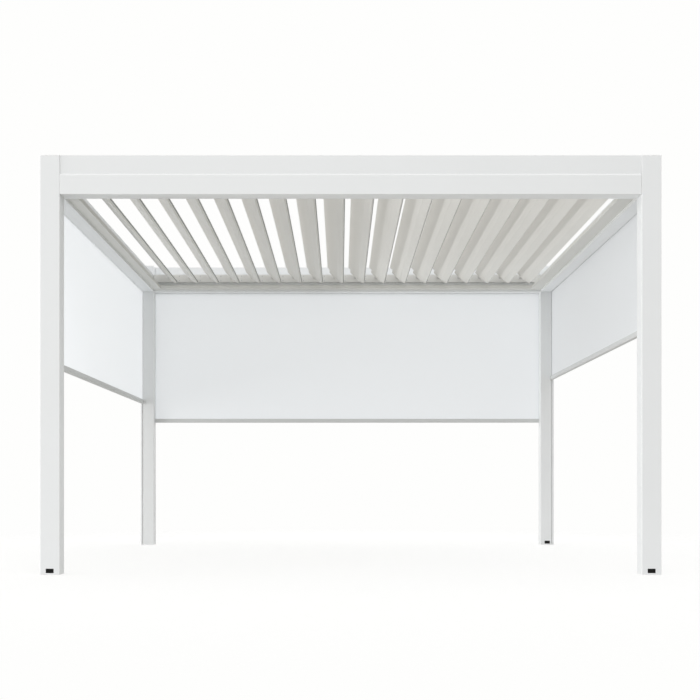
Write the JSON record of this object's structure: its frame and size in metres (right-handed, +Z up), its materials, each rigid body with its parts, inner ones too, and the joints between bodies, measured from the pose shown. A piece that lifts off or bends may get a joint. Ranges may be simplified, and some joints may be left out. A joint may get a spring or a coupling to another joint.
{
  "type": "louvred roof pergola",
  "caption": "Free-standing white pergola with a flat roof of turning louvres, square posts, box beams with an inner gutter and roller screens on three sides",
  "frame": {"origin": "on the ground at the middle of the plan", "axes": "+X along the width to the right seen from the open front, +Y from the open front to the back, +Z up"},
  "size_m": [3.6, 3.6, 2.43],
  "materials": {
    "frame_coat": "matt white powder coat",
    "louvre_coat": "matt white powder coat",
    "gutter_coat": "matt white powder coat",
    "rail_coat": "matt white powder coat",
    "bar_coat": "matt white powder coat",
    "screen_fabric": "woven white screen fabric",
    "bare_aluminium": "mill finish",
    "spout_plastic": "moulded black"
  },
  "bodies": {
    "frame": {"post_front_left": "frame_coat", "post_front_right": "frame_coat", "post_back_left": "frame_coat", "post_back_right": "frame_coat", "post_caps": "frame_coat", "base_plates": "bare_aluminium", "rain_spouts": "spout_plastic", "beam_front": "frame_coat", "beam_back": "frame_coat", "beam_left": "frame_coat", "beam_right": "frame_coat", "gutter_front": "gutter_coat", "gutter_back": "gutter_coat", "gutter_left": "gutter_coat", "gutter_right": "gutter_coat", "pivot_rail_front": "rail_coat", "pivot_rail_back": "rail_coat", "screen_left": "screen_fabric", "screen_right": "screen_fabric", "screen_back": "screen_fabric", "screen_bar_left": "bar_coat", "screen_bar_right": "bar_coat", "screen_bar_back": "bar_coat", "screen_roller_left": "bare_aluminium", "screen_roller_right": "bare_aluminium", "screen_roller_back": "bare_aluminium"},
    "louvre_01": {"louvre_01": "louvre_coat"},
    "louvre_02": {"louvre_02": "louvre_coat"},
    "louvre_03": {"louvre_03": "louvre_coat"},
    "louvre_04": {"louvre_04": "louvre_coat"},
    "louvre_05": {"louvre_05": "louvre_coat"},
    "louvre_06": {"louvre_06": "louvre_coat"},
    "louvre_07": {"louvre_07": "louvre_coat"},
    "louvre_08": {"louvre_08": "louvre_coat"},
    "louvre_09": {"louvre_09": "louvre_coat"},
    "louvre_10": {"louvre_10": "louvre_coat"},
    "louvre_11": {"louvre_11": "louvre_coat"},
    "louvre_12": {"louvre_12": "louvre_coat"},
    "louvre_13": {"louvre_13": "louvre_coat"},
    "louvre_14": {"louvre_14": "louvre_coat"},
    "louvre_15": {"louvre_15": "louvre_coat"},
    "louvre_16": {"louvre_16": "louvre_coat"},
    "louvre_17": {"louvre_17": "louvre_coat"},
    "louvre_18": {"louvre_18": "louvre_coat"}
  },
  "joints": [
    {"name": "louvre_01_turn", "type": "hinge", "parent": "frame", "child": "louvre_01", "pos_m": [-1.54817, 0, 2.327], "axis": [0, 1, 0], "range_deg": [-39, 81]},
    {"name": "louvre_02_turn", "type": "hinge", "parent": "frame", "child": "louvre_02", "pos_m": [-1.3685, 0, 2.327], "axis": [0, 1, 0], "range_deg": [-39, 81]},
    {"name": "louvre_03_turn", "type": "hinge", "parent": "frame", "child": "louvre_03", "pos_m": [-1.18883, 0, 2.327], "axis": [0, 1, 0], "range_deg": [-39, 81]},
    {"name": "louvre_04_turn", "type": "hinge", "parent": "frame", "child": "louvre_04", "pos_m": [-1.00917, 0, 2.327], "axis": [0, 1, 0], "range_deg": [-39, 81]},
    {"name": "louvre_05_turn", "type": "hinge", "parent": "frame", "child": "louvre_05", "pos_m": [-0.8295, 0, 2.327], "axis": [0, 1, 0], "range_deg": [-39, 81]},
    {"name": "louvre_06_turn", "type": "hinge", "parent": "frame", "child": "louvre_06", "pos_m": [-0.64983, 0, 2.327], "axis": [0, 1, 0], "range_deg": [-39, 81]},
    {"name": "louvre_07_turn", "type": "hinge", "parent": "frame", "child": "louvre_07", "pos_m": [-0.47017, 0, 2.327], "axis": [0, 1, 0], "range_deg": [-39, 81]},
    {"name": "louvre_08_turn", "type": "hinge", "parent": "frame", "child": "louvre_08", "pos_m": [-0.2905, 0, 2.327], "axis": [0, 1, 0], "range_deg": [-39, 81]},
    {"name": "louvre_09_turn", "type": "hinge", "parent": "frame", "child": "louvre_09", "pos_m": [-0.11083, 0, 2.327], "axis": [0, 1, 0], "range_deg": [-39, 81]},
    {"name": "louvre_10_turn", "type": "hinge", "parent": "frame", "child": "louvre_10", "pos_m": [0.06883, 0, 2.327], "axis": [0, 1, 0], "range_deg": [-39, 81]},
    {"name": "louvre_11_turn", "type": "hinge", "parent": "frame", "child": "louvre_11", "pos_m": [0.2485, 0, 2.327], "axis": [0, 1, 0], "range_deg": [-39, 81]},
    {"name": "louvre_12_turn", "type": "hinge", "parent": "frame", "child": "louvre_12", "pos_m": [0.42817, 0, 2.327], "axis": [0, 1, 0], "range_deg": [-39, 81]},
    {"name": "louvre_13_turn", "type": "hinge", "parent": "frame", "child": "louvre_13", "pos_m": [0.60783, 0, 2.327], "axis": [0, 1, 0], "range_deg": [-39, 81]},
    {"name": "louvre_14_turn", "type": "hinge", "parent": "frame", "child": "louvre_14", "pos_m": [0.7875, 0, 2.327], "axis": [0, 1, 0], "range_deg": [-39, 81]},
    {"name": "louvre_15_turn", "type": "hinge", "parent": "frame", "child": "louvre_15", "pos_m": [0.96717, 0, 2.327], "axis": [0, 1, 0], "range_deg": [-39, 81]},
    {"name": "louvre_16_turn", "type": "hinge", "parent": "frame", "child": "louvre_16", "pos_m": [1.14683, 0, 2.327], "axis": [0, 1, 0], "range_deg": [-39, 81]},
    {"name": "louvre_17_turn", "type": "hinge", "parent": "frame", "child": "louvre_17", "pos_m": [1.3265, 0, 2.327], "axis": [0, 1, 0], "range_deg": [-39, 81]},
    {"name": "louvre_18_turn", "type": "hinge", "parent": "frame", "child": "louvre_18", "pos_m": [1.50617, 0, 2.327], "axis": [0, 1, 0], "range_deg": [-39, 81]}
  ],
  "couplings": [
    {"joint": "louvre_01_turn", "follows": "louvre_09_turn", "ratio": 1},
    {"joint": "louvre_02_turn", "follows": "louvre_09_turn", "ratio": 1},
    {"joint": "louvre_03_turn", "follows": "louvre_09_turn", "ratio": 1},
    {"joint": "louvre_04_turn", "follows": "louvre_09_turn", "ratio": 1},
    {"joint": "louvre_05_turn", "follows": "louvre_09_turn", "ratio": 1},
    {"joint": "louvre_06_turn", "follows": "louvre_09_turn", "ratio": 1},
    {"joint": "louvre_07_turn", "follows": "louvre_09_turn", "ratio": 1},
    {"joint": "louvre_08_turn", "follows": "louvre_09_turn", "ratio": 1},
    {"joint": "louvre_10_turn", "follows": "louvre_09_turn", "ratio": 1},
    {"joint": "louvre_11_turn", "follows": "louvre_09_turn", "ratio": 1},
    {"joint": "louvre_12_turn", "follows": "louvre_09_turn", "ratio": 1},
    {"joint": "louvre_13_turn", "follows": "louvre_09_turn", "ratio": 1},
    {"joint": "louvre_14_turn", "follows": "louvre_09_turn", "ratio": 1},
    {"joint": "louvre_15_turn", "follows": "louvre_09_turn", "ratio": 1},
    {"joint": "louvre_16_turn", "follows": "louvre_09_turn", "ratio": 1},
    {"joint": "louvre_17_turn", "follows": "louvre_09_turn", "ratio": 1},
    {"joint": "louvre_18_turn", "follows": "louvre_09_turn", "ratio": 1}
  ]
}
